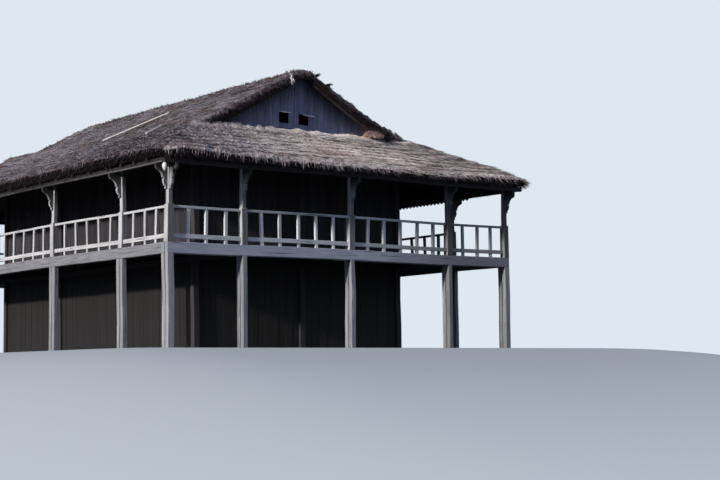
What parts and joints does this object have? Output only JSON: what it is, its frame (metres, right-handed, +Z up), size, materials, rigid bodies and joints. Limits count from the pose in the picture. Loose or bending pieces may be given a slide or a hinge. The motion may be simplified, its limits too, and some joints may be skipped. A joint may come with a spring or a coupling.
{
  "type": "stilt house",
  "caption": "Timber house on stilts with a boarded room on each storey, an open railed gallery all round, carved eave brackets and a thatched hip roof with small boarded gables.",
  "frame": {"origin": "on the ground at the middle of the plan", "axes": "+X along the gable front to the right, +Y back along the house, +Z up"},
  "size_m": [13.42, 18.37, 8.2854],
  "materials": {
    "bamboo": "bleached, satin",
    "bleached_timber": "weathered silver grey, matt",
    "floor_boards": "worn, matt",
    "gable_boards": "weathered, matt",
    "pale_turning": "pale, satin",
    "sheet_metal": "dull galvanised",
    "thatch": "dry straw, matt",
    "wall_boards": "weathered, matt",
    "weathered_timber": "weathered grey, matt"
  },
  "bodies": {
    "root": {"carved_brackets": "bleached_timber", "corner_pendant": "pale_turning", "cross_beams": "weathered_timber", "eave_sheet": "sheet_metal", "end_beams": "weathered_timber", "end_plates": "weathered_timber", "end_purlins": "weathered_timber", "end_room_plates": "weathered_timber", "floor_joists": "weathered_timber", "gable_back": "gable_boards", "gable_flaps": "gable_boards", "gable_front": "gable_boards", "gallery_posts": "bleached_timber", "hip_rafters": "weathered_timber", "lower_wall_back": "wall_boards", "lower_wall_front": "wall_boards", "lower_wall_left": "wall_boards", "lower_wall_right": "wall_boards", "main_rafters": "weathered_timber", "railing_back": "bleached_timber", "railing_front": "bleached_timber", "railing_left": "bleached_timber", "railing_right": "bleached_timber", "ridge_beam": "weathered_timber", "roof_poles": "bamboo", "room_posts_lower": "weathered_timber", "room_posts_upper": "weathered_timber", "side_beams": "weathered_timber", "side_plates": "weathered_timber", "side_purlins": "weathered_timber", "side_room_plates": "weathered_timber", "skirt_rafters": "weathered_timber", "stilts": "bleached_timber", "thatch_left": "thatch", "thatch_ridge": "thatch", "thatch_right": "thatch", "thatch_skirt_back": "thatch", "thatch_skirt_front": "thatch", "thatch_skirt_left": "thatch", "thatch_skirt_right": "thatch", "upper_floor": "floor_boards", "upper_wall_back": "wall_boards", "upper_wall_front": "wall_boards", "upper_wall_left": "wall_boards", "upper_wall_right": "wall_boards"}
  },
  "joints": []
}
